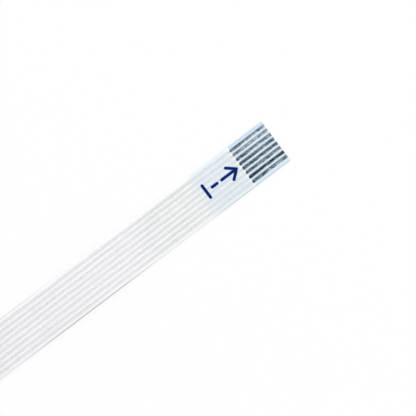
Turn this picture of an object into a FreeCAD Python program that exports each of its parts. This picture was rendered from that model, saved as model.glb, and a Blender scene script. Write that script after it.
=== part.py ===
import FreeCAD, Part
import math
import os

Vector = FreeCAD.Vector

# A flat flex cable: flat conductors side by side between two films, bare at both ends, with a
# stiffening tape under each end. All sizes are in millimetres.
# X runs along the cable, Y across it, and Z is up. The bare contacts face up. The origin is on
# the surface that the cable lies on, under its middle.

# The conductors.
CONDUCTOR_COUNT = 8
PITCH = 0.50
CONDUCTOR_WIDTH = 0.30
CONDUCTOR_THICKNESS = 0.05
ROLLED_EDGE = 0.012

# The films. The cover is the film over a conductor's flat face. Between conductors the outer
# face sinks by the dip, down a slope at each side of the ridge.
EDGE_MARGIN = 0.35
FILM_COVER = 0.04
RIDGE_DIP = 0.02
RIDGE_OVERHANG = 0.015
SLOPE_WIDTH = 0.05

# The length, from tip to tip along the table, and the ends.
CABLE_LENGTH = 50.0
STRIP_LENGTH = 4.0
STIFFENER_LENGTH = 8.5
STIFFENER_THICKNESS = 0.21

# The bow. The stiffened ends lie flat up to the end runs' corners, and the cable between them
# rises over two points that are a little uneven, as a strip cut from a reel lies.
FAR_END_RUN = 12.4
NEAR_END_RUN = 12.6
FAR_BOW_PLACE = -4.4
FAR_BOW_RISE = 0.56
NEAR_BOW_PLACE = 4.0
NEAR_BOW_RISE = 0.70

# The route of the cable's middle plane: the place along X, and the rise over its height at the
# ends. Each corner is rounded by an arc that takes this share of the shorter run beside it.
ROUTE = [
    (-CABLE_LENGTH / 2, 0.0),
    (-CABLE_LENGTH / 2 + FAR_END_RUN, 0.0),
    (FAR_BOW_PLACE, FAR_BOW_RISE),
    (NEAR_BOW_PLACE, NEAR_BOW_RISE),
    (CABLE_LENGTH / 2 - NEAR_END_RUN, 0.0),
    (CABLE_LENGTH / 2, 0.0),
]
ARC_SHARE = 0.45

# A piece of an edge shorter than this share of it is left out.
NO_SHARE = 1e-6

# Sizes that follow from those above.
SIDE_OFFSET = (CONDUCTOR_COUNT - 1) * PITCH / 2 + CONDUCTOR_WIDTH / 2 + EDGE_MARGIN
HALF_CONDUCTOR = CONDUCTOR_THICKNESS / 2
RIDGE_HEIGHT = HALF_CONDUCTOR + FILM_COVER
VALLEY_HEIGHT = RIDGE_HEIGHT - RIDGE_DIP
MIDDLE_HEIGHT = STIFFENER_THICKNESS + RIDGE_HEIGHT


def conductor_places():
    """The Y of each conductor's middle, from one side of the cable to the other."""
    first = -(CONDUCTOR_COUNT - 1) * PITCH / 2
    return [first + number * PITCH for number in range(CONDUCTOR_COUNT)]


def channel_line(side):
    """A film's inner face as (y, z): flat on the other film, and hollow over each conductor."""
    points = [(-SIDE_OFFSET, 0.0)]
    half = CONDUCTOR_WIDTH / 2
    shoulder = HALF_CONDUCTOR - ROLLED_EDGE
    for middle in conductor_places():
        points.append((middle - half, 0.0))
        points.append((middle - half, side * shoulder))
        points.append((middle - half + ROLLED_EDGE, side * HALF_CONDUCTOR))
        points.append((middle + half - ROLLED_EDGE, side * HALF_CONDUCTOR))
        points.append((middle + half, side * shoulder))
        points.append((middle + half, 0.0))
    points.append((SIDE_OFFSET, 0.0))
    return points


def ridge_line(side):
    """A film's outer face as (y, z): a low ridge over each conductor, with valleys between."""
    points = [(-SIDE_OFFSET, side * VALLEY_HEIGHT)]
    half = CONDUCTOR_WIDTH / 2 + RIDGE_OVERHANG
    for middle in conductor_places():
        points.append((middle - half - SLOPE_WIDTH, side * VALLEY_HEIGHT))
        points.append((middle - half, side * RIDGE_HEIGHT))
        points.append((middle + half, side * RIDGE_HEIGHT))
        points.append((middle + half + SLOPE_WIDTH, side * VALLEY_HEIGHT))
    points.append((SIDE_OFFSET, side * VALLEY_HEIGHT))
    return points


def film_outline(side):
    """The section of one film: side is 1 for the upper film and -1 for the lower."""
    return channel_line(side) + ridge_line(side)[::-1]


def conductor_outline(middle):
    """The section of one conductor: flat faces, with its sides rounded by rolling."""
    half = CONDUCTOR_WIDTH / 2
    shoulder = HALF_CONDUCTOR - ROLLED_EDGE
    corner = [(half, -shoulder), (half, shoulder), (half - ROLLED_EDGE, HALF_CONDUCTOR)]
    right = [(half - ROLLED_EDGE, -HALF_CONDUCTOR)] + corner
    left = [(-y, -z) for y, z in right]
    return [(middle + y, z) for y, z in right + left]


def stiffener_outline():
    """The section of a stiffener: a flat underside, and a top bonded into the film's ridges."""
    bottom = -MIDDLE_HEIGHT
    return ridge_line(-1) + [(SIDE_OFFSET, bottom), (-SIDE_OFFSET, bottom)]


def route_points():
    """The route's points in space."""
    return [Vector(x, 0, MIDDLE_HEIGHT + rise) for x, rise in ROUTE]


def corner_arc(before, corner, after):
    """The arc that rounds one corner of the route, as its edge, ends and radius."""
    way_in = corner - before
    way_out = after - corner
    reach = ARC_SHARE * min(way_in.Length, way_out.Length)
    start = corner - way_in.normalize() * reach
    end = corner + way_out.normalize() * reach
    half_turn = way_in.getAngle(way_out) / 2
    radius = reach / math.tan(half_turn)
    towards = (way_out - way_in).normalize()
    middle = corner + towards * radius * (1 / math.cos(half_turn) - 1)
    return Part.Arc(start, middle, end).toShape(), start, end, radius


def route_edges():
    """The whole route as straight runs joined by tangent arcs, and the arcs' radii."""
    points = route_points()
    edges = []
    radii = []
    here = points[0]
    for before, corner, after in zip(points, points[1:], points[2:]):
        arc, start, end, radius = corner_arc(before, corner, after)
        edges.append(Part.LineSegment(here, start).toShape())
        edges.append(arc)
        radii.append(radius)
        here = end
    edges.append(Part.LineSegment(here, points[-1]).toShape())
    return edges, radii


def stretch(edges, start, end):
    """The part of the route from one distance along it to another, as one wire."""
    kept = []
    passed = 0.0
    for edge in edges:
        low = max(start - passed, 0.0)
        high = min(end - passed, edge.Length)
        passed += edge.Length
        if high - low > edge.Length * NO_SHARE:
            first = edge.getParameterByLength(low)
            last = edge.getParameterByLength(high)
            kept.append(edge.Curve.toShape(first, last))
    return Part.Wire(kept)


def section_wire(outline, place, direction):
    """A section's outline as a closed wire, square to the route at one place."""
    across = Vector(0, 1, 0)
    up = direction.cross(across)
    corners = [place + across * y + up * z for y, z in outline]
    return Part.makePolygon(corners + [corners[0]])


def swept(outline, edges, start, end):
    """The solid that a section makes along a stretch of the route."""
    spine = stretch(edges, start, end)
    first = spine.OrderedEdges[0]
    place = first.valueAt(first.FirstParameter)
    direction = first.tangentAt(first.FirstParameter)
    pipe = Part.BRepOffsetAPI.MakePipeShell(spine)
    pipe.setBiNormalMode(Vector(0, 1, 0))
    pipe.add(section_wire(outline, place, direction))
    pipe.build()
    pipe.makeSolid()
    solid = Part.Solid(pipe.shape())
    report_volume(solid, outline, end - start)
    return solid


def report_volume(solid, outline, length):
    """Prints a solid's volume beside its section times its length."""
    corners = [Vector(0, y, z) for y, z in outline]
    area = Part.Face(Part.makePolygon(corners + [corners[0]])).Area
    print("  volume", round(solid.Volume, 5), "section times length", round(area * length, 5))


def all_pieces():
    """Every piece of the cable by name."""
    edges, radii = route_edges()
    length = sum(edge.Length for edge in edges)
    print("length along the cable", round(length, 3), "arc radii", [round(r) for r in radii])
    pieces = {
        "lower_film": swept(film_outline(-1), edges, 0.0, length),
        "upper_film": swept(film_outline(1), edges, STRIP_LENGTH, length - STRIP_LENGTH),
        "stiffener_far": swept(stiffener_outline(), edges, 0.0, STIFFENER_LENGTH),
        "stiffener_near": swept(stiffener_outline(), edges, length - STIFFENER_LENGTH, length),
    }
    for number, middle in enumerate(conductor_places(), start=1):
        name = f"conductor_{number}"
        pieces[name] = swept(conductor_outline(middle), edges, 0.0, length)
    return pieces


os.makedirs("parts", exist_ok=True)
for name, shape in all_pieces().items():
    shape.exportStep(f"parts/{name}.step")
    print(name, "valid", shape.isValid(), "faces", len(shape.Faces))
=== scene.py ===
# %% [markdown]
# # A flat flex cable
#
# This lesson dresses a small jumper cable. On the real object, flat tinned copper conductors lie
# side by side between two white films. The upper film stops short of each end, so that the
# conductors lie bare there as contacts, and a blue tape under each end makes it stiff enough to
# push into a connector.
#
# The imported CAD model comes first, as a fixed frame. Everything below is built in the same frame,
# so a piece that is made from its sizes lands in its place.

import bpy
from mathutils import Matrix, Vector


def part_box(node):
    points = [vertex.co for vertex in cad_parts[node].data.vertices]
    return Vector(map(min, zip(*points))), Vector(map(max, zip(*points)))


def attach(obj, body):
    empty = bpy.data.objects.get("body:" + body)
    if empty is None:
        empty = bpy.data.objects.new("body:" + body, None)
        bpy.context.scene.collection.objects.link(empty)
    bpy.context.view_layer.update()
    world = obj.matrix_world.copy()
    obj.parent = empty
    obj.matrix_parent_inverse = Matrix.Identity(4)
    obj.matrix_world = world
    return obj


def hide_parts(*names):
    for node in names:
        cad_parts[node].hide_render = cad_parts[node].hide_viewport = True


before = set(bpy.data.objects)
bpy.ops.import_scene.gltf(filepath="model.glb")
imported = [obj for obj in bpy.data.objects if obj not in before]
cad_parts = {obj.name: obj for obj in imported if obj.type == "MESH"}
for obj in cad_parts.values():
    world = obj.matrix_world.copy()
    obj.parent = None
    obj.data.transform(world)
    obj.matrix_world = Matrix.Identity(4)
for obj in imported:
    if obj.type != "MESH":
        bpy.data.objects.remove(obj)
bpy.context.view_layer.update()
print("CAD nodes:", len(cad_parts))

# %% [markdown]
# Blender works in metres, and a cable that is thinner than a fingernail is easier to think about
# in millimetres. So the lesson counts in millimetres, and one value turns them into metres where
# a mesh is made.
#
# Next come the sizes. They could be typed in again, but then a change in the CAD model would
# leave the looks behind. So they are read from the boxes of the CAD nodes.

# %% Read the sizes from the frame
import math

import bpy
import numpy as np
from mathutils import Vector, noise

MM = 0.001


def box_mm(node):
    """The lowest and highest corner of a CAD node, in millimetres."""
    low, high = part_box(node)
    return low / MM, high / MM


conductor_nodes = sorted(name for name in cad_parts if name.startswith("conductor_"))
conductor_boxes = [box_mm(name) for name in conductor_nodes]
places = np.array([(low.y + high.y) / 2 for low, high in conductor_boxes])
pitch = places[1] - places[0]
half_conductor = (conductor_boxes[0][1].y - conductor_boxes[0][0].y) / 2

film_low, film_high = box_mm("lower_film")
half_width = film_high.y
strip_length = film_high.x - box_mm("upper_film")[1].x
stiffener_length = film_high.x - box_mm("stiffener_near")[0].x
print(f"pitch {pitch:.2f}, width {2 * half_width:.2f}, bare contacts {strip_length:.2f} long")

# %% [markdown]
# The cable's middle plane runs through the middle of the conductors. Its route is a short list of
# points: flat over the stiffened ends, and bowed up a little between them, as a strip that was cut
# from a reel lies on a table.
#
# Straight lines between the points would give creases. A NURBS curve of order 3 takes them as
# handles and passes smoothly between them. Each stiffened end is straight, so its run has one
# more point, as far from the corner as the next point is, which keeps the curve on the tape.

# %% Lay the route
MIDDLE_HEIGHT = 0.275
ROUTE = [
    (-25.0, MIDDLE_HEIGHT),
    (-20.8, MIDDLE_HEIGHT),
    (-12.6, MIDDLE_HEIGHT),
    (-4.4, MIDDLE_HEIGHT + 0.56),
    (4.0, MIDDLE_HEIGHT + 0.70),
    (12.4, MIDDLE_HEIGHT),
    (20.8, MIDDLE_HEIGHT),
    (25.0, MIDDLE_HEIGHT),
]
CURVE_ORDER = 3
STEPS_PER_HANDLE = 48


def nurbs_line(points):
    """The points of a smooth NURBS curve through the middle plane, in millimetres."""
    curve = bpy.data.curves.new("route", "CURVE")
    curve.dimensions = "3D"
    spline = curve.splines.new("NURBS")
    spline.points.add(len(points) - 1)
    for handle, (x, z) in zip(spline.points, points):
        handle.co = (x * MM, 0, z * MM, 1)
    spline.order_u = CURVE_ORDER
    spline.use_endpoint_u = True
    spline.resolution_u = STEPS_PER_HANDLE
    bare = bpy.data.objects.new("route", curve)
    mesh = bpy.data.meshes.new_from_object(bare)
    line = np.array([vertex.co for vertex in mesh.vertices]) / MM
    bpy.data.meshes.remove(mesh)
    bpy.data.curves.remove(curve)
    return line


line = nurbs_line(ROUTE)
along = np.concatenate([[0], np.cumsum(np.linalg.norm(np.diff(line, axis=0), axis=1))])
cable_length = along[-1]
print(f"route of {len(line)} points, {cable_length:.2f} mm along the cable")

# %% [markdown]
# Every layer of the cable follows the same route at its own height over the middle plane. So one
# helper answers the only question they all ask: where is the point that lies so far along the
# cable, so far across it and so high over its middle plane?
#
# Distances along the cable count from the far tip. The direction of the route is worked out at
# each of its points and blended between them, so that a glossy face shows no facets.

# %% Find a point of the cable
tangents = np.gradient(line, along, axis=0)
tangents /= np.linalg.norm(tangents, axis=1)[:, None]


def cable_points(distance, across, height):
    """Points in millimetres, for arrays of distances along, places across and heights."""
    x, z = (np.interp(distance, along, line[:, axis]) for axis in (0, 2))
    run, climb = (np.interp(distance, along, tangents[:, axis]) for axis in (0, 2))
    return np.stack([x - climb * height, across + 0 * x, z + run * height], axis=-1)


print("tip of the middle plane:", cable_points(cable_length, 0.0, 0.0).round(3))

# %% [markdown]
# The section of the cable decides how it looks. The films are pressed together between the
# conductors and swell into a low ridge over each one, and those ridges are what makes a flat flex
# cable look ribbed. A slit edge is a little rounded and rolled down, because the knife pulls the
# film along. The fine grey line down each side is painted shade, in the film's material.
#
# These heights are all functions of the place across the cable, so that neighbouring layers take
# their faces from the same function and fit without a gap.

# %% Describe the section
HALF_THICKNESS = MIDDLE_HEIGHT - conductor_boxes[0][0].z
RIDGE = MIDDLE_HEIGHT - film_low.z
VALLEY = MIDDLE_HEIGHT - box_mm("stiffener_near")[1].z
ROLLED_EDGE = 0.02
RIDGE_FOOT = 0.085
EDGE_ROLL = 0.012
EDGE_ROLL_WIDTH = 0.16
EDGE_RADIUS = 0.03
LEFT_AT_EDGE = 0.15


def from_conductor(y):
    """How far each place across is from the middle of the nearest conductor."""
    return np.abs(y[:, None] - places[None, :]).min(axis=1)


def rounded(distance, radius):
    """From 0 at an edge to 1 at one radius inside it, along a quarter of a circle."""
    return np.sqrt(1 - np.clip(1 - distance / radius, 0, 1) ** 2)


def eased(part):
    """A share from 0 to 1, with a soft start and a soft end."""
    return part**2 * (3 - 2 * part)


def conductor_face(y):
    """The height of a conductor's face, with its rolled edges, and 0 between conductors."""
    inside = half_conductor - from_conductor(y)
    return np.where(inside >= 0, HALF_THICKNESS * rounded(inside, ROLLED_EDGE), 0.0)


def film_face(y):
    """The height of the films' outer faces, with ridges, valleys and rolled slit edges."""
    rise = np.clip((half_conductor + RIDGE_FOOT - from_conductor(y)) / RIDGE_FOOT, 0, 1)
    height = VALLEY + (RIDGE - VALLEY) * eased(rise)
    inside = half_width - np.abs(y)
    roll = EDGE_ROLL * np.clip(1 - inside / EDGE_ROLL_WIDTH, 0, 1) ** 2
    return (height - roll) * (LEFT_AT_EDGE + (1 - LEFT_AT_EDGE) * rounded(inside, EDGE_RADIUS))


print(f"ridges {RIDGE:.3f} and valleys {VALLEY:.3f} mm from the middle plane")

# %% [markdown]
# A mesh needs its points where the section bends, and nowhere else. So the places across come
# from one pattern that repeats for each conductor, with points crowded at its edges and on the
# ridge's slopes, and from a second pattern for the slit edges.

# %% Choose the places across
HALF_PATTERN = [0.0, 0.06, 0.11, 0.13, 0.138, 0.144, 0.148, 0.15, 0.165, 0.18, 0.195, 0.21, 0.235]
EDGE_PATTERN = [0.2, 0.16, 0.12, 0.09, 0.065, 0.045, 0.03, 0.018, 0.008, 0.002, 0.0]


def places_across():
    """Places across the whole cable, from one slit edge to the other."""
    near = np.array(HALF_PATTERN)
    pattern = np.concatenate([-near[:0:-1], near])
    inner = (places[:, None] + pattern[None, :]).ravel()
    edge = half_width - np.array(EDGE_PATTERN)
    return np.concatenate([-edge[::-1], np.unique(inner.round(5)), edge])


across = places_across()
print("points across a film:", len(across))

# %% [markdown]
# All of the cable's layers are thin closed solids between a lower and an upper face. That could
# be done with a solidify modifier, but it gives one thickness only, and here the thickness
# changes from ridge to valley. So one helper joins two grids of points into a closed mesh. Its
# cut ends get a second material slot, because a cut shows the inside of the material.

# %% Build a closed mesh between two faces
BODY = 0
CUT_END = 1
SHARP_FROM = 50


def quads_between(first, second, kind):
    """Quads between two rows of point numbers, with the kind of face that they are."""
    return [
        ((a, b, c, d), kind)
        for a, b, c, d in zip(first[:-1], first[1:], second[1:], second[:-1])
    ]


def solid_between(name, low, high):
    """A closed mesh object between two grids of points, each by station, then by place."""
    rows, columns = low.shape[:2]
    below = np.arange(rows * columns).reshape(rows, columns)
    above = below + rows * columns
    quads = []
    for row in range(rows - 1):
        quads += quads_between(above[row + 1], above[row], BODY)
        quads += quads_between(below[row], below[row + 1], BODY)
    quads += quads_between(below[:, 0], above[:, 0], BODY)
    quads += quads_between(below[:, -1][::-1], above[:, -1][::-1], BODY)
    quads += quads_between(below[0][::-1], above[0][::-1], CUT_END)
    quads += quads_between(below[-1], above[-1], CUT_END)
    return mesh_object(name, np.concatenate([low.reshape(-1, 3), high.reshape(-1, 3)]), quads)


def mesh_object(name, points, quads):
    """A smooth-shaded mesh object, with the edges that turn by SHARP_FROM degrees kept crisp."""
    mesh = bpy.data.meshes.new(name)
    corners = [[int(number) for number in quad] for quad, kind in quads]
    mesh.from_pydata((points * MM).tolist(), [], corners)
    mesh.polygons.foreach_set("material_index", [kind for quad, kind in quads])
    mesh.set_sharp_from_angle(angle=math.radians(SHARP_FROM))
    made = bpy.data.objects.new(name, mesh)
    bpy.context.scene.collection.objects.link(made)
    return made


print("helper ready: solid_between")

# %% [markdown]
# With that helper, a layer is made in three lines: its stations along the cable, its lower face
# and its upper face. A face is a function of the place across and of the station, and most
# layers differ only there.

# %% Sweep a layer along the route
def stations(start, end, spacing, crowd=()):
    """Distances from start to end, evenly spaced, and crowded near both ends."""
    count = max(2, round((end - start) / spacing) + 1)
    even = np.linspace(start, end, count)
    close = np.array(crowd)
    return np.unique(np.concatenate([even, start + close, end - close]).round(5))


def straight(distance, y):
    """Places along the cable that are the same all the way across."""
    return np.full(len(y), distance)


def layer(name, distances, y, low_face, high_face, along_face=straight):
    """A closed layer of the cable. The faces give heights for one distance and all places."""
    grid_y = np.tile(y, (len(distances), 1))
    grid_d = np.array([along_face(distance, y) for distance in distances])
    low = np.array([low_face(distance) for distance in distances])
    high = np.array([high_face(distance) for distance in distances])
    made = solid_between(
        name,
        cable_points(grid_d, grid_y, low),
        cable_points(grid_d, grid_y, high),
    )
    print(name, "has", len(made.data.polygons), "faces")
    return made


print("helpers ready: stations, layer")

# %% [markdown]
# The lower film is as long as the cable. Its lower face has the ridges, and its upper face is the
# glued middle plane with a hollow for the lower half of each conductor.
#
# The upper film is its mirror image, but it ends at the strip line. There the stripping blade
# leaves a rounded step with a slightly raised lip, so its outer face drops along a quarter of a
# circle in the last hundredths of a millimetre. Between the conductors, where nothing holds it
# back, the warm film has crept a little further, so the contacts seem to have rounded ends.

# %% Make the two films
FILM_SPACING = 0.4
TIP_CROWD = (0.01,)
LIP_CROWD = (0.004, 0.012, 0.025, 0.045, 0.07, 0.1, 0.14, 0.2, 0.28)
LIP_HEIGHT = 0.006
LIP_WIDTH = 0.16
LIP_PLACE = 0.6
LIP_STEEPNESS = 8
STEP_RADIUS = 0.045
STEP_FOOT = 0.12
CREEP = 0.07
CREEP_REACH = 0.6
CREEP_START = 0.4
CREEP_SLOPE = 0.75

outer = film_face(across)
inner = conductor_face(across)
upper_start = strip_length
upper_end = cable_length - strip_length


def upper_outer(distance):
    """The upper film's outer face, with its step and lip at the strip lines."""
    inside = min(distance - upper_start, upper_end - distance)
    lip = LIP_HEIGHT * math.exp(-((inside / LIP_WIDTH - LIP_PLACE) ** 2) * LIP_STEEPNESS)
    step = max(STEP_FOOT, float(rounded(inside, STEP_RADIUS)))
    return inner + (outer + lip - inner) * step


def crept(distance, y):
    """Places along the cable, pushed outwards between the conductors near a strip line."""
    inside = min(distance - upper_start, upper_end - distance)
    side = 1 if distance > cable_length / 2 else -1
    start = CREEP_START * half_conductor
    slope = CREEP_SLOPE * half_conductor
    beside = np.clip((from_conductor(y) - start) / slope, 0, 1)
    push = CREEP * eased(beside) * max(0.0, 1 - inside / CREEP_REACH)
    return distance + side * push


lower_film = layer(
    "lower_film_sheet",
    stations(0, cable_length, FILM_SPACING, TIP_CROWD),
    across,
    lambda distance: -outer,
    lambda distance: -inner,
)
upper_film = layer(
    "upper_film_sheet",
    stations(upper_start, upper_end, FILM_SPACING, LIP_CROWD),
    across,
    lambda distance: inner,
    upper_outer,
    crept,
)

# %% [markdown]
# A conductor is round wire that was rolled flat, so its sides are round and its faces are not
# quite even. Under the film nobody sees that, but the bare contacts catch the light with it. So
# the stations are close together at the two ends, where a little noise moves the upper face, and
# far apart in between.

# %% Make the conductors
CONTACT_SPACING = 0.07
HIDDEN_SPACING = 1.0
CLOSE_UNDER_FILM = 0.2
UNEVEN_HEIGHT = 0.003
UNEVEN_LENGTH = 0.35
UNEVEN_WIDTH = 0.12
THINNEST = 0.003
CONDUCTOR_PATTERN = [0.0, 0.03, 0.06, 0.09, 0.115, 0.13, 0.138, 0.144, 0.148, 0.15]


def conductor_stations():
    """Distances along a conductor, close together where it lies bare."""
    bare = strip_length + CLOSE_UNDER_FILM
    ends = stations(0, bare, CONTACT_SPACING)
    middle = stations(bare, cable_length - bare, HIDDEN_SPACING)
    return np.unique(np.concatenate([ends, middle, cable_length - ends]).round(5))


def unevenness(distance, y):
    """The rolled face's ups and downs where it lies bare, and none under the film."""
    bare = min(distance, cable_length - distance) < strip_length
    if not bare:
        return np.zeros(len(y))
    spots = [Vector((distance / UNEVEN_LENGTH, place / UNEVEN_WIDTH, 0)) for place in y]
    return UNEVEN_HEIGHT * np.array([noise.noise(spot) for spot in spots])


def make_conductor(number, place):
    """One conductor with rolled sides and an uneven bare face."""
    near = np.array(CONDUCTOR_PATTERN)
    y = place + np.concatenate([-near[:0:-1], near])
    face = np.maximum(conductor_face(y), THINNEST)
    inward = np.clip((half_conductor - np.abs(y - place)) / ROLLED_EDGE, 0, 1)

    def top(distance):
        """The upper face, uneven where it lies bare."""
        return face + (unevenness(distance, y) - UNEVEN_HEIGHT) * inward

    return layer(f"flat_wire_{number}", conductor_stations(), y, lambda distance: -face, top)


wires = [make_conductor(number, place) for number, place in enumerate(places, start=1)]

# %% [markdown]
# The stiffener is a thicker tape under each end. Its glue fills the valleys of the lower film,
# so its upper face is the lower film's outer face. Its underside is flat and lies on the table,
# and its cut edges are broken by a small radius.

# %% Make the stiffeners
TAPE_RADIUS = 0.03
TAPE_CROWD = (0.004, 0.012, 0.02, 0.03)


def tape_bottom(distance, start, end):
    """The tape's underside, with its edges and ends rounded up a little."""
    inside = half_width - np.abs(across)
    side = 1 - rounded(inside, TAPE_RADIUS)
    tip = 1 - rounded(min(distance - start, end - distance), TAPE_RADIUS)
    return -MIDDLE_HEIGHT + TAPE_RADIUS * np.maximum(side, tip)


def make_stiffener(name, start, end):
    """One stiffening tape under an end of the cable."""
    return layer(
        name,
        stations(start, end, FILM_SPACING, TAPE_CROWD),
        across,
        lambda distance: tape_bottom(distance, start, end),
        lambda distance: -outer,
    )


tape_near = make_stiffener("stiffener_tape_near", cable_length - stiffener_length, cable_length)
tape_far = make_stiffener("stiffener_tape_far", 0.0, stiffener_length)

# %% [markdown]
# On the film beside the contacts is a printed mark in dark blue ink: an arrow that says which
# way the cable goes in, a short dash and a bar. It could be painted in the film's material, but
# a texture bakes a little soft, and ink has a thickness that catches the light. So every stroke
# is a thin plate with round ends that lies on the ridges and valleys of the film. A wider and
# lighter plate lies under it, because the ink thins out at a stroke's rim.
#
# A stroke is described by its two ends, as distances from the tip and places across.

# %% Print the mark
CORE_RADIUS = 0.108
RIM_RADIUS = 0.155
INK_THICKNESS = 0.004
INK_STEP = 0.0006
INK_BITE = 0.002
INK_SPACING = 0.02
INK_COLUMNS = 17
CAP_PATTERN = [0.02, 0.12, 0.3, 0.55, 0.8, 1.0]
STROKES = [
    ((4.45, 0.14), (5.22, 0.80)),
    ((4.45, 0.14), (5.22, -0.52)),
    ((4.50, 0.14), (6.15, 0.14)),
    ((6.68, 0.14), (7.24, 0.14)),
    ((7.92, 0.80), (7.92, -0.52)),
]


def stroke_half_widths(length, radius):
    """Pairs of a distance along a stroke and its half width there, with round ends."""
    caps = [(radius * (part - 1), radius * float(rounded(part, 1.0))) for part in CAP_PATTERN]
    count = round(length / INK_SPACING)
    shaft = [(length * step / count, radius) for step in range(1, count)]
    return caps + shaft + [(length - reach, half) for reach, half in caps[::-1]]


def stroke_faces(start, end, radius, lift):
    """The lower and upper face of one stroke, as grids of points on the film."""
    start, end = np.array(start), np.array(end)
    length = float(np.linalg.norm(end - start))
    direction = (end - start) / length
    sideways = np.array([direction[1], -direction[0]])
    low, high = [], []
    for reach, half in stroke_half_widths(length, radius):
        reaches = half * np.linspace(-1, 1, INK_COLUMNS)[:, None]
        spots = start + direction * reach + sideways * reaches
        distance = cable_length - spots[:, 0]
        height = film_face(spots[:, 1])
        low.append(cable_points(distance, spots[:, 1], height - INK_BITE))
        high.append(cable_points(distance, spots[:, 1], height + lift))
    return np.array(low), np.array(high)


def make_plates(name, radius, first_lift):
    """The thin plates of all strokes as one object. Each lies a little over the one before."""
    plates = []
    for number, (start, end) in enumerate(STROKES):
        low, high = stroke_faces(start, end, radius, first_lift + number * INK_STEP)
        plates.append(solid_between(f"stroke_{number}", low, high))
    with bpy.context.temp_override(active_object=plates[0], selected_editable_objects=plates):
        bpy.ops.object.join()
    plates[0].name = name
    return plates[0]


mark_rim = make_plates("insertion_mark_rim", RIM_RADIUS, INK_THICKNESS)
mark = make_plates("insertion_mark", CORE_RADIUS, INK_THICKNESS + len(STROKES) * INK_STEP)
print("printed strokes:", len(STROKES))

# %% [markdown]
# Now the finishes. A material is a small network of nodes, and most of its steps are the same few:
# set a socket or join it, do some arithmetic, fade between two distances, mix two colours. Named
# helpers for those make the networks below read like sentences.
#
# Colours are written as they show on a screen, from 0 to 255, and one helper turns them into the
# linear values that the renderer works with.

# %% Helpers for materials
def ink(red, green, blue):
    """A colour as it shows on a screen, turned into linear values."""
    parts = [value / 255 for value in (red, green, blue)]
    linear = [v / 12.92 if v <= 0.04045 else ((v + 0.055) / 1.055) ** 2.4 for v in parts]
    return (*linear, 1.0)


def put(tree, socket, value):
    """Joins a node's output to a socket, or sets the socket to a plain value."""
    if isinstance(value, bpy.types.NodeSocket):
        tree.links.new(value, socket)
    else:
        socket.default_value = value


def maths(tree, operation, *values):
    """One step of arithmetic."""
    node = tree.nodes.new("ShaderNodeMath")
    node.operation = operation
    for socket, value in zip(node.inputs, values):
        put(tree, socket, value)
    return node.outputs[0]


def fade(tree, value, start, end, low=0.0, high=1.0):
    """A smooth change from low to high while the value goes from start to end."""
    node = tree.nodes.new("ShaderNodeMapRange")
    node.interpolation_type = "SMOOTHSTEP"
    for socket, part in zip(node.inputs, (value, start, end, low, high)):
        put(tree, socket, part)
    return node.outputs[0]


def mix(tree, share, first, second):
    """A mix of two colours."""
    node = tree.nodes.new("ShaderNodeMix")
    node.data_type = "RGBA"
    put(tree, node.inputs[0], share)
    put(tree, node.inputs[6], first)
    put(tree, node.inputs[7], second)
    return node.outputs[2]


def scaled(tree, value, factor):
    """A colour or a place, multiplied by a factor."""
    node = tree.nodes.new("ShaderNodeVectorMath")
    node.operation = "SCALE"
    put(tree, node.inputs[0], value)
    put(tree, node.inputs["Scale"], factor)
    return node.outputs[0]


print("a mid grey of 128 is", round(ink(128, 128, 128)[0], 3), "in linear light")

# %% [markdown]
# Position and noise are the two sources of all detail here. Position comes from the object's own
# coordinates, in millimetres, so a pattern stays on the cable however it is turned. Noise is
# stretched along or across the cable by scaling those coordinates first. Most of it lies not far
# from its middle, so a helper spreads that part over the range that a finish needs.

# %% Helpers for position and noise
NOISE_LOW = 0.3
NOISE_MIDDLE = 0.5
NOISE_HIGH = 0.7


def new_material(name):
    """A material with its network and its main shader."""
    material = bpy.data.materials.new(name)
    material.use_nodes = True
    tree = material.node_tree
    return material, tree, tree.nodes["Principled BSDF"]


def place_in_mm(tree):
    """The place on the object, in its own coordinates and in millimetres."""
    coordinates = tree.nodes.new("ShaderNodeTexCoord")
    return scaled(tree, coordinates.outputs["Object"], 1 / MM)


def axes(tree, place):
    """The three coordinates of a place."""
    node = tree.nodes.new("ShaderNodeSeparateXYZ")
    tree.links.new(place, node.inputs[0])
    return node.outputs


def grain(tree, place, length, width, detail=3.0):
    """Noise from 0 to 1, with grains of that length and width in mm along X and across."""
    stretch = tree.nodes.new("ShaderNodeVectorMath")
    stretch.operation = "DIVIDE"
    tree.links.new(place, stretch.inputs[0])
    stretch.inputs[1].default_value = (length, width, width)
    node = tree.nodes.new("ShaderNodeTexNoise")
    tree.links.new(stretch.outputs[0], node.inputs["Vector"])
    node.inputs["Scale"].default_value = 1.0
    node.inputs["Detail"].default_value = detail
    return node.outputs[0]


def spread(tree, grains, low, high):
    """Noise spread over a range from low to high."""
    return fade(tree, grains, NOISE_LOW, NOISE_HIGH, low, high)


def bump(tree, shader, height, depth):
    """Small relief on a shader, with its depth in mm."""
    node = tree.nodes.new("ShaderNodeBump")
    tree.links.new(height, node.inputs["Height"])
    node.inputs["Distance"].default_value = depth * MM
    tree.links.new(node.outputs[0], shader.inputs["Normal"])


print("helpers ready: new_material, place_in_mm, grain, spread, bump")

# %% [markdown]
# The film is white polyester, thin enough for what lies behind it to show. A real translucent
# shader would work, but it is slow and noisy at this scale, and an exported model would lose it.
# What shows through is simple and always in the same place, so it is painted from the position.
#
# A mask is a value from 0 to 1 that says where a colour goes. The first ones are the stripes over
# the conductors, which wander sideways a little and are not all equally strong, the ends, and the
# plain margins at the sides.

# %% Where the stripes, the ends and the margins lie
MARGIN_FADE = 0.15
STRIPE_INSIDE = 0.03
STRIPE_OUTSIDE = 0.25
BETWEEN_STRIPES = 0.16
STRIPE_WANDER = 0.1
WANDER_SIZE = (4.0, 0.6)
STRIPE_STRENGTH = (0.88, 1.18)
STRENGTH_SIZE = (3.0, 0.5)


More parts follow.
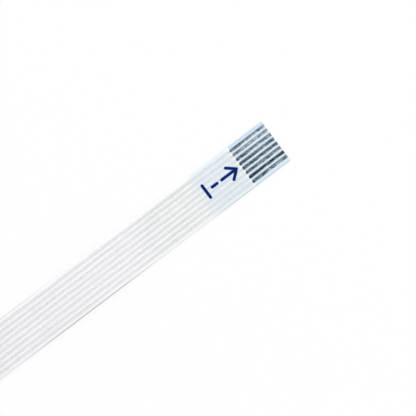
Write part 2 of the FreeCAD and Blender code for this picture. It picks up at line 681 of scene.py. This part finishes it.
def from_middle_of_wire(tree, y):
    """How far a place is to the +Y side of the middle of its conductor, in mm."""
    turns = maths(tree, "DIVIDE", y, float(pitch))
    part = maths(tree, "SUBTRACT", maths(tree, "FRACT", turns), 0.5)
    return maths(tree, "MULTIPLY", part, float(pitch))


def stripe_mask(tree, place, y):
    """1 over the middle of a conductor, fading to 0 between conductors."""
    noise_here = grain(tree, place, *WANDER_SIZE, detail=1.0)
    sideways = maths(tree, "SUBTRACT", noise_here, NOISE_MIDDLE)
    wander = maths(tree, "MULTIPLY", sideways, STRIPE_WANDER)
    offset = maths(tree, "ABSOLUTE", from_middle_of_wire(tree, maths(tree, "ADD", y, wander)))
    stripe = fade(tree, offset, STRIPE_OUTSIDE, STRIPE_INSIDE, BETWEEN_STRIPES, 1.0)
    outermost = float(places[-1] + pitch / 2)
    inside = maths(tree, "LESS_THAN", maths(tree, "ABSOLUTE", y), outermost)
    strength = spread(tree, grain(tree, place, *STRENGTH_SIZE), *STRIPE_STRENGTH)
    return maths(tree, "MULTIPLY", maths(tree, "MULTIPLY", stripe, inside), strength)


def end_mask(tree, x, length, softness):
    """1 over a stretch of that length at both tips, and 0 between them."""
    start = float(film_high.x - length)
    return fade(tree, maths(tree, "ABSOLUTE", x), start - softness, start + softness)


def beside_mask(tree, y):
    """1 on the plain margins beside the outermost conductors."""
    start = float(places[-1] + half_conductor)
    return fade(tree, maths(tree, "ABSOLUTE", y), start, start + MARGIN_FADE)


print("masks ready, for", len(places), "stripes")

# %% [markdown]
# With the masks, the film's colour is a few mixes. Away from the ends it is a little cooler, and
# over the tapes it is bluish, with bluer margins.

# %% Colours of the film
FILM_WHITE = ink(247, 248, 248)
FILM_STRIPE = ink(218, 220, 221)
COOL_WHITE = ink(249, 249, 252)
COOL_STRIPE = ink(224, 224, 229)
COOL_FADE = (6.0, 13.0)
TAPED_WHITE = ink(234, 240, 244)
TAPED_STRIPE = ink(214, 221, 227)
TAPED_MARGIN = ink(231, 242, 247)
TAPE_FADE = 0.5


def film_colour(tree, place, x, y):
    """White with grey stripes, cooler away from the ends and bluish over the tapes."""
    stripes = stripe_mask(tree, place, y)
    near = mix(tree, stripes, FILM_WHITE, FILM_STRIPE)
    far = mix(tree, stripes, COOL_WHITE, COOL_STRIPE)
    body = mix(tree, fade(tree, maths(tree, "ABSOLUTE", x), *COOL_FADE), far, near)
    taped = mix(tree, stripes, TAPED_WHITE, TAPED_STRIPE)
    taped = mix(tree, beside_mask(tree, y), taped, TAPED_MARGIN)
    return mix(tree, end_mask(tree, x, stiffener_length, TAPE_FADE), body, taped)


print("film colours ready")

# %% [markdown]
# Two kinds of fine line follow. Each slit edge gets a grey line of painted shade, for its rough cut
# face that turns away from the light. The painted shade is darker where the tape makes the edge
# thick and where the bow lifts the edge off the white table, and only faint on the other side of
# the cable.

# %% Painted shade along the slit edges
# The grey of the painted shade along the slit edges.
SLIT_EDGE_SHADE = ink(176, 178, 178)
SLIT_LINE_INSIDE = 0.16
SLIT_LINE_CORE = 0.07
LIFTED_HEIGHT = (0.45, 0.95)
LIFTED_STRENGTH = (0.2, 0.85)
FAR_FADE = (-6.0, 0.0)
FAR_STRENGTH = 0.6
TAPED_EDGE_LENGTH = 8.5
TAPED_EDGE_FADE = 2.0
TAPED_EDGE_STRENGTH = 0.48
OTHER_SIDE_FADE = (2.0, -4.0)
OTHER_SIDE_STRENGTH = 0.3
SIDE_BLEND = 1.0


def mix_values(tree, share, first, second):
    """A mix of two numbers."""
    node = tree.nodes.new("ShaderNodeMix")
    for socket, value in zip(node.inputs, (share, None, first, second)):
        if value is not None:
            put(tree, socket, value)
    return node.outputs[0]


def side_blend(tree, y, low=0.0, high=1.0):
    """A value on the -Y half of the cable that blends into another on the +Y half."""
    return fade(tree, y, -SIDE_BLEND, SIDE_BLEND, low, high)


def slit_edge_shade_mask(tree, x, y, z):
    """How strong the painted edge shade is: more on the -Y edge, less on the other, and 0 inside
    them.
    """
    inside = maths(tree, "SUBTRACT", float(half_width), maths(tree, "ABSOLUTE", y))
    line_mask = fade(tree, inside, SLIT_LINE_INSIDE, SLIT_LINE_CORE)
    lifted = fade(tree, z, *LIFTED_HEIGHT, *LIFTED_STRENGTH)
    lifted = maths(tree, "MULTIPLY", lifted, fade(tree, x, *FAR_FADE, FAR_STRENGTH, 1.0))
    over_tape = end_mask(tree, x, TAPED_EDGE_LENGTH, TAPED_EDGE_FADE)
    over_tape = maths(tree, "MULTIPLY", over_tape, TAPED_EDGE_STRENGTH)
    strength = maths(tree, "MAXIMUM", lifted, over_tape)
    other_side = fade(tree, x, *OTHER_SIDE_FADE, 0.0, OTHER_SIDE_STRENGTH)
    side = mix_values(tree, side_blend(tree, y), strength, other_side)
    return maths(tree, "MULTIPLY", line_mask, side)


print("slit lines:", SLIT_LINE_INSIDE, "mm wide")

# %% [markdown]
# The other kind is bright. The stripping blade has whitened the very end of the upper film, and
# that shows between the conductors.

# %% Bright lines at the upper film's ends
BRIGHT_LINE = ink(255, 255, 255)
BRIGHT_LINE_WIDTH = 0.24
BRIGHT_LINE_CORE = 0.06
BRIGHT_LINE_STRENGTH = 0.65
BRIGHT_LINE_BESIDE = (0.1, 0.2)


def bright_line_mask(tree, x, y):
    """Strong at the ends of the upper film between conductors, and 0 over them."""
    start = float(film_high.x - strip_length)
    inside = maths(tree, "SUBTRACT", start, maths(tree, "ABSOLUTE", x))
    strength = fade(
        tree, inside, BRIGHT_LINE_WIDTH, BRIGHT_LINE_CORE, 0.0, BRIGHT_LINE_STRENGTH
    )
    offset = maths(tree, "ABSOLUTE", from_middle_of_wire(tree, y))
    return maths(tree, "MULTIPLY", strength, fade(tree, offset, *BRIGHT_LINE_BESIDE))


print("bright lines:", BRIGHT_LINE_WIDTH, "mm wide")

# %% [markdown]
# The upper and the lower film are the same product, but they show different places. Only the
# lower film is seen in the contact windows, over the blue tape, where it looks light blue. On
# one side of each contact it is darker, because the contact stands over it there like a low
# wall. The wall is hundredths of a millimetre high, and soft lamps hardly show its shade, so the
# shade is painted too.
#
# The upper film has three tiny dark specks, bits of dirt that were pressed in with it.

# %% Shade beside the contacts, and specks
WINDOW_TINT = ink(218, 238, 250)
WINDOW_FADE = 0.02
UPPER_MARGIN = ink(202, 223, 240)
LOWER_MARGIN = ink(215, 238, 250)
WINDOW_SHADE = ink(132, 152, 170)
SHADE_FULL = 0.15
SHADE_END = 0.29
SHADE_SHIFT = 0.1
OUTERMOST_SHADE = 0.35
SPECKS = [(3.14, 0.78), (0.03, 0.80), (-0.76, 0.78)]
SPECK_RADIUS = 0.10
SPECK_GREY = ink(180, 184, 191)


def window_colour(tree, y, beside):
    """The lower film over the blue tape, with its two margins and the shaded sides."""
    margin = mix(tree, side_blend(tree, y), LOWER_MARGIN, UPPER_MARGIN)
    window = mix(tree, beside, WINDOW_TINT, margin)
    return mix(tree, wire_shade_mask(tree, y), window, WINDOW_SHADE)


def wire_shade_mask(tree, y):
    """1 on the film just beside each conductor, on its +Y side, and weaker at the last one."""
    shifted = from_middle_of_wire(tree, maths(tree, "SUBTRACT", y, SHADE_SHIFT))
    offset = maths(tree, "ADD", shifted, SHADE_SHIFT)
    outermost = float(places[-1])
    strength = fade(tree, y, outermost, outermost + half_conductor, 1.0, OUTERMOST_SHADE)
    inside = maths(tree, "GREATER_THAN", y, -outermost)
    shade = maths(tree, "MULTIPLY", maths(tree, "GREATER_THAN", offset, 0.0), inside)
    shade = maths(tree, "MULTIPLY", shade, strength)
    return maths(tree, "MULTIPLY", shade, fade(tree, offset, SHADE_END, SHADE_FULL))


def specks_mask(tree, x, y):
    """1 in the middle of a few tiny dark specks, and 0 away from them."""
    flat = tree.nodes.new("ShaderNodeCombineXYZ")
    put(tree, flat.inputs[0], x)
    put(tree, flat.inputs[1], y)
    mask = 0.0
    for spot in SPECKS:
        reach = tree.nodes.new("ShaderNodeVectorMath")
        reach.operation = "DISTANCE"
        put(tree, reach.inputs[0], flat.outputs[0])
        put(tree, reach.inputs[1], (*spot, 0.0))
        speck = fade(tree, reach.outputs["Value"], SPECK_RADIUS, 0.0)
        mask = maths(tree, "MAXIMUM", mask, speck)
    return mask


print("specks in the upper film:", len(SPECKS))

# %% [markdown]
# A plain surface would look like a computer's. Drawn film has a faint grain, soft clouds and fine
# streaks along its length. They go into the colour, as a factor around 1, and still finer lines
# go into the roughness and the relief, where they break up the gloss.

# %% Grain, gloss and relief of the film
SPECKLE = 0.085
SPECKLE_SIZE = (0.11, 0.08)
CLOUDS = 0.016
CLOUD_SIZE = (3.0, 0.5)
STREAKS = 0.03
STREAK_SIZE = (4.0, 0.14)
SHARE_ON_MARGINS = 0.5
# Painted shade: how much darker the plain margin on the -Y side is.
LOWER_MARGIN_SHADE = -0.035
DRAWN_LINE_SIZE = (6.0, 0.08)
FILM_ROUGHNESS = (0.28, 0.42)
FILM_RELIEF = 0.004


def brightness(tree, place, y, beside):
    """A factor around 1: grain, clouds and streaks, weaker on the plain margins, with painted shade
    on the -Y margin.
    """
    speckle = spread(tree, grain(tree, place, *SPECKLE_SIZE, detail=1.0), -SPECKLE, SPECKLE)
    clouds = spread(tree, grain(tree, place, *CLOUD_SIZE), -CLOUDS, CLOUDS)
    streaks = spread(tree, grain(tree, place, *STREAK_SIZE), -STREAKS, STREAKS)
    share = fade(tree, beside, 0.0, 1.0, 1.0, SHARE_ON_MARGINS)
    uneven = maths(tree, "ADD", maths(tree, "ADD", speckle, clouds), streaks)
    uneven = maths(tree, "MULTIPLY", uneven, share)
    # Painted shade on the -Y margin.
    shade = maths(tree, "MULTIPLY", beside, side_blend(tree, y, LOWER_MARGIN_SHADE, 0.0))
    return maths(tree, "ADD", 1.0, maths(tree, "ADD", uneven, shade))


def finish_film(tree, shader, place, colour, factor):
    """Brightness, gloss and fine relief on the film's colour."""
    put(tree, shader.inputs["Base Color"], scaled(tree, colour, factor))
    lines = grain(tree, place, *DRAWN_LINE_SIZE)
    put(tree, shader.inputs["Roughness"], spread(tree, lines, *FILM_ROUGHNESS))
    bump(tree, shader, lines, FILM_RELIEF)


print("film finish ready")

# %% [markdown]
# Each film's material puts these steps together. The upper film also gets its bright ends and
# the specks, and the lower film the contact windows. A film is white right through, so its cut
# ends wear the same.

# %% Make the two films' materials
def upper_film_material():
    """The white film over the conductors."""
    material, tree, shader = new_material("film_upper")
    place = place_in_mm(tree)
    x, y, z = axes(tree, place)
    colour = film_colour(tree, place, x, y)
    colour = mix(tree, bright_line_mask(tree, x, y), colour, BRIGHT_LINE)
    colour = mix(tree, specks_mask(tree, x, y), colour, SPECK_GREY)
    # Painted shade along the slit edges.
    colour = mix(tree, slit_edge_shade_mask(tree, x, y, z), colour, SLIT_EDGE_SHADE)
    finish_film(tree, shader, place, colour, brightness(tree, place, y, beside_mask(tree, y)))
    return material


def lower_film_material():
    """The white film under the conductors, light blue in the contact windows."""
    material, tree, shader = new_material("film_lower")
    place = place_in_mm(tree)
    x, y, z = axes(tree, place)
    colour = film_colour(tree, place, x, y)
    beside = beside_mask(tree, y)
    window = window_colour(tree, y, beside)
    colour = mix(tree, end_mask(tree, x, strip_length, WINDOW_FADE), colour, window)
    # Painted shade along the slit edges.
    colour = mix(tree, slit_edge_shade_mask(tree, x, y, z), colour, SLIT_EDGE_SHADE)
    finish_film(tree, shader, place, colour, brightness(tree, place, y, beside))
    return material


def wear(piece, body, cut_end=None):
    """Puts a finish on a piece, and the same or another one on its cut ends."""
    piece.data.materials.append(body)
    piece.data.materials.append(cut_end or body)
    print(piece.name, "wears", body.name)


wear(upper_film, upper_film_material())
wear(lower_film, lower_film_material())

# %% [markdown]
# Dull tin is a metal, so its colour is in its reflections. The tinning bath and the rolls leave
# it blotchy: dark and bright patches that are drawn out along the wire, and fine rolled lines
# over them. The bare wires differ a little from each other. Each is darker near the strip line
# and at its cut tip. Its rim on the -Y side has a painted highlight, and its +Y rim a little
# painted shade.
#
# All of that adds up to one level. A change near a place is written as where it starts and ends,
# seen from that place, and then the levels before and after it.

# %% Work out how bright the tin is
TIN_TONES = [0.020, -0.066, 0.021, -0.022, 0.012, 0.018, 0.115, 0.046]
PATCHES = 0.44
PATCH_SIZE = (0.7, 0.22)
BLOTS = 0.34
BLOT_SIZE = (0.26, 0.16)
ROLLED_LINES = 0.06
ROLLED_LINE_SIZE = (1.2, 0.02)
STRIP_LINE_SHADE = (0.9, 2.0, -0.045, 0.0)
STRIP_LINE_BLOT = (0.12, 0.3, -0.055, 0.0)
TIP_SHADE = (-0.4, -0.1, 0.0, -0.015)
# Painted highlight on the -Y rim of each wire, and a little painted shade on its +Y rim.
LOW_RIM_HIGHLIGHT = (-0.05, -0.13, 0.0, 0.2)
HIGH_RIM_SHADE = (0.06, 0.14, 0.08, 0.05)


def change_near(tree, value, origin, change):
    """A change of level near a place."""
    start, end, before, after = change
    return fade(tree, value, origin + start, origin + end, before, after)


def tin_level(tree, place, centre, tone):
    """The level of the tin, around 0.5: patches, painted highlight and shade at the rims, and the
    darker ends.
    """
    x, y = axes(tree, place)[:2]
    from_middle = maths(tree, "ABSOLUTE", x)
    tip = float(film_high.x)
    strip_line = tip - float(strip_length)
    level = maths(tree, "MULTIPLY", grain(tree, place, *PATCH_SIZE), PATCHES)
    blots = maths(tree, "MULTIPLY", grain(tree, place, *BLOT_SIZE, detail=1.5), BLOTS)
    rolled = grain(tree, place, *ROLLED_LINE_SIZE, detail=2.0)
    rolled = spread(tree, rolled, -ROLLED_LINES, ROLLED_LINES)
    changes = [
        change_near(tree, from_middle, strip_line, STRIP_LINE_SHADE),
        change_near(tree, from_middle, strip_line, STRIP_LINE_BLOT),
        change_near(tree, from_middle, tip, TIP_SHADE),
        # Painted highlight and painted shade at the rims.
        change_near(tree, y, centre, LOW_RIM_HIGHLIGHT),
        change_near(tree, y, centre, HIGH_RIM_SHADE),
    ]
    for part in (blots, rolled, tone, *changes):
        level = maths(tree, "ADD", level, part)
    return level


print("tones of the wires:", TIN_TONES)

# %% [markdown]
# The level picks the colour, from dark over middle to bright. Bright places are also smoother, so
# they mirror more of the room, and the same level gives the tin a low relief.

# %% Make the tin
TIN_DARK = ink(34, 42, 50)
TIN_MIDDLE = ink(116, 126, 138)
TIN_BRIGHT = ink(206, 214, 222)
DARK_TO_MIDDLE = (0.32, 0.55)
MIDDLE_TO_BRIGHT = (0.5, 0.74)
ROUGH_TO_SMOOTH = (0.35, 0.65)
TIN_ROUGHNESS = (0.5, 0.36)
TIN_RELIEF = 0.006


def tin_material(number, centre, tone):
    """Dull tin on one wire. The tone makes it a little darker or brighter than the others."""
    material, tree, shader = new_material(f"dull_tin_{number}")
    place = place_in_mm(tree)
    level = tin_level(tree, place, centre, tone)
    dark = mix(tree, fade(tree, level, *DARK_TO_MIDDLE), TIN_DARK, TIN_MIDDLE)
    colour = mix(tree, fade(tree, level, *MIDDLE_TO_BRIGHT), dark, TIN_BRIGHT)
    put(tree, shader.inputs["Base Color"], colour)
    shader.inputs["Metallic"].default_value = 1.0
    put(tree, shader.inputs["Roughness"], fade(tree, level, *ROUGH_TO_SMOOTH, *TIN_ROUGHNESS))
    bump(tree, shader, level, TIN_RELIEF)
    return material


tins = [
    tin_material(number, float(centre), tone)
    for number, (centre, tone) in enumerate(zip(places, TIN_TONES), start=1)
]
print("tin materials:", len(tins))

# %% [markdown]
# The shear that cuts the cable to length cuts through the tin, so a wire's end shows the copper
# inside, finely torn. Only this face wears copper.

# %% Make the copper and dress the wires
COPPER_DARK = ink(150, 84, 52)
COPPER_BRIGHT = ink(222, 150, 110)
COPPER_ROUGHNESS = 0.35
SHEAR_GRAIN_SIZE = (0.2, 0.02)
SHEAR_RELIEF = 0.004


def copper_material():
    """The sheared copper at a wire's cut end."""
    material, tree, shader = new_material("cut_copper")
    place = place_in_mm(tree)
    torn = grain(tree, place, *SHEAR_GRAIN_SIZE, detail=2.0)
    put(tree, shader.inputs["Base Color"], mix(tree, torn, COPPER_DARK, COPPER_BRIGHT))
    shader.inputs["Metallic"].default_value = 1.0
    shader.inputs["Roughness"].default_value = COPPER_ROUGHNESS
    bump(tree, shader, torn, SHEAR_RELIEF)
    return material


copper = copper_material()
for wire, tin in zip(wires, tins):
    wear(wire, tin, copper)

# %% [markdown]
# The stiffener is clear blue polyester, smooth and a little glossy. Its colour is uneven in long
# soft clouds, and handling leaves fine scratches along it. The ink of the mark is nearly flat and
# matt, a little thinner in some places than in others and lighter at the rims of the strokes.

# %% Make the tape's and the ink's material
TAPE_DARK = ink(38, 112, 200)
TAPE_BRIGHT = ink(66, 140, 220)
TAPE_CLOUD_SIZE = (3.0, 1.2)
TAPE_ROUGHNESS = (0.2, 0.38)
SCRATCH_SIZE = (2.5, 0.03)
SCRATCH_DEPTH = 0.002
FULL_INK = (ink(0, 10, 70), ink(4, 46, 124))
THIN_INK = (ink(44, 84, 158), ink(72, 112, 182))
INK_GRAIN_SIZE = (0.25, 0.25)
INK_ROUGHNESS = (0.5, 0.65)
INK_GLOSS = 0.05
INK_RELIEF = 0.002


def tape_material():
    """Blue polyester tape."""
    material, tree, shader = new_material("blue_tape")
    place = place_in_mm(tree)
    clouds = grain(tree, place, *TAPE_CLOUD_SIZE)
    scratches = grain(tree, place, *SCRATCH_SIZE, detail=2.0)
    put(tree, shader.inputs["Base Color"], mix(tree, clouds, TAPE_DARK, TAPE_BRIGHT))
    put(tree, shader.inputs["Roughness"], spread(tree, scratches, *TAPE_ROUGHNESS))
    bump(tree, shader, scratches, SCRATCH_DEPTH)
    return material


def ink_material(name, deep, light):
    """Blue printing ink, matt, between a deep and a lighter colour."""
    material, tree, shader = new_material(name)
    place = place_in_mm(tree)
    density = grain(tree, place, *INK_GRAIN_SIZE)
    put(tree, shader.inputs["Base Color"], mix(tree, density, deep, light))
    put(tree, shader.inputs["Roughness"], spread(tree, density, *INK_ROUGHNESS))
    shader.inputs["Specular IOR Level"].default_value = INK_GLOSS
    bump(tree, shader, density, INK_RELIEF)
    return material


blue_tape = tape_material()
wear(tape_near, blue_tape)
wear(tape_far, blue_tape)
wear(mark, ink_material("full_ink", *FULL_INK))
wear(mark_rim, ink_material("thin_ink", *THIN_INK))

# %% [markdown]
# Each dressed piece is put on the cable's one body, in place of the CAD nodes that it stands for,
# which are hidden.

# %% Put each piece on the cable's body
def dress(piece, finish, *nodes):
    """Puts a piece on the cable's one body, in place of CAD nodes. The finish is not used."""
    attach(piece, "root")
    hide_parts(*nodes)


dress(lower_film, "insulation_film", "lower_film")
dress(upper_film, "insulation_film", "upper_film")
dress(tape_near, "stiffener_tape", "stiffener_near")
dress(tape_far, "stiffener_tape", "stiffener_far")
for wire, node in zip(wires, conductor_nodes):
    dress(wire, "tinned_copper", node)
for plates in (mark, mark_rim):
    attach(plates, "root")

# %% [markdown]
# The picture is taken from straight above, through a long lens, so that the cable's sides stay
# parallel. The camera's place follows from one pixel: the middle of the picture is so many
# millimetres from the tip along the cable, and so many to its side.

# %% Set up the camera
PICTURE_SIZE = 416
PIXELS_PER_MM = 10.87
CABLE_ANGLE = 37.1
MIDDLE_FROM_TIP = 8.71
MIDDLE_TO_SIDE = -1.16
FOCAL_LENGTH = 150.0


def make_camera():
    """A long lens over the point in the middle of the picture, turned to the cable's angle."""
    data = bpy.data.cameras.new("camera")
    data.lens = FOCAL_LENGTH
    camera = bpy.data.objects.new("camera", data)
    bpy.context.scene.collection.objects.link(camera)
    seen_width = PICTURE_SIZE / PIXELS_PER_MM
    distance = seen_width * data.lens / data.sensor_width
    middle = Vector((film_high.x - MIDDLE_FROM_TIP, MIDDLE_TO_SIDE, MIDDLE_HEIGHT + distance))
    camera.location = middle * MM
    camera.rotation_euler = (0, 0, -math.radians(CABLE_ANGLE))
    data.clip_start = MM
    return camera


bpy.context.scene.camera = make_camera()
print("camera height in mm:", round(bpy.context.scene.camera.location.z / MM, 1))

# %% [markdown]
# The cable lies on a white table in a white room. To the camera, and in reflections, the world
# is pure white, but it lights the cable with less than that, so that the lamps can give it some
# shape.

# %% Light the white room
AMBIENT = 0.65


def white_to_the_eye(tree):
    """1 for what the camera sees, directly, in a reflection or through glass."""
    path = tree.nodes.new("ShaderNodeLightPath")
    direct = path.outputs["Is Camera Ray"]
    glossy = path.outputs["Is Glossy Ray"]
    through = path.outputs["Is Transmission Ray"]
    return maths(tree, "MAXIMUM", maths(tree, "MAXIMUM", direct, glossy), through)


def make_world():
    """A white world that gives a softer light than it shows."""
    world = bpy.data.worlds.new("white_room")
    bpy.context.scene.world = world
    world.use_nodes = True
    tree = world.node_tree
    background = tree.nodes["Background"]
    background.inputs["Color"].default_value = (1, 1, 1, 1)
    strength = fade(tree, white_to_the_eye(tree), 0.0, 1.0, AMBIENT, 1.0)
    tree.links.new(strength, background.inputs["Strength"])


make_world()
print("world light:", AMBIENT)

# %% [markdown]
# The table does the same: it looks white, and keeps a part of the cable's shadow. It is a disc,
# far wider than the view, and lies a hair below the cable, so that no two faces share a place.

# %% Lay the table
SHADOW_KEPT = 0.1
FLOOR_WHITE = (0.95, 0.95, 0.95, 1)
FLOOR_ROUGHNESS = 0.9
FLOOR_SIDES = 64
FLOOR_REACH = 1.5
FLOOR_DROP = 0.000002


def floor_material():
    """A matt white table top that looks white and keeps a part of the shadow."""
    material, tree, shader = new_material("white_table")
    shader.inputs["Base Color"].default_value = FLOOR_WHITE
    shader.inputs["Roughness"].default_value = FLOOR_ROUGHNESS
    shader.inputs["Specular IOR Level"].default_value = 0.0
    glow = tree.nodes.new("ShaderNodeEmission")
    both = tree.nodes.new("ShaderNodeMixShader")
    share = maths(tree, "MULTIPLY", white_to_the_eye(tree), 1 - SHADOW_KEPT)
    tree.links.new(share, both.inputs[0])
    tree.links.new(shader.outputs[0], both.inputs[1])
    tree.links.new(glow.outputs[0], both.inputs[2])
    tree.links.new(both.outputs[0], tree.nodes["Material Output"].inputs["Surface"])
    return material


def make_floor():
    """A wide round table top just under the cable, in metres."""
    turns = np.linspace(0, 2 * math.pi, FLOOR_SIDES, endpoint=False)
    x = FLOOR_REACH * np.cos(turns)
    y = FLOOR_REACH * np.sin(turns)
    ring = np.stack([x, y, np.full(FLOOR_SIDES, -FLOOR_DROP)], axis=-1)
    mesh = bpy.data.meshes.new("table_top")
    mesh.from_pydata(ring.tolist(), [], [list(range(FLOOR_SIDES))])
    floor = bpy.data.objects.new("table_top", mesh)
    floor.data.materials.append(floor_material())
    bpy.context.scene.collection.objects.link(floor)


make_floor()
print("table laid, shadow kept:", SHADOW_KEPT)

# %% [markdown]
# Two soft lamps make up the rest of the light. The key lamp stands beyond the near end, a little
# to the +Y side, and gives the ridges and the slit edges their shape. The fill lamp, at the
# opposite corner, is weaker. Both are large for such a small object, so their shadows stay soft.
# Their places and sizes are in metres, and their power is in watts.

# %% Place the lamps
LAMP_TARGET = (0.012, 0, 0)


def lamp(name, place, size, power):
    """A square area lamp that faces the middle of the picture."""
    data = bpy.data.lights.new(name, "AREA")
    data.size = size
    data.energy = power
    made = bpy.data.objects.new(name, data)
    made.location = place
    aim = Vector(LAMP_TARGET) - Vector(place)
    made.rotation_euler = aim.to_track_quat("-Z", "Y").to_euler()
    bpy.context.scene.collection.objects.link(made)


lamp("key_lamp", place=(0.27, 0.12, 0.36), size=0.16, power=0.845)
lamp("fill_lamp", place=(-0.20, -0.22, 0.36), size=0.2, power=0.2)
bpy.context.scene.view_settings.view_transform = "Standard"
print("two lamps placed")
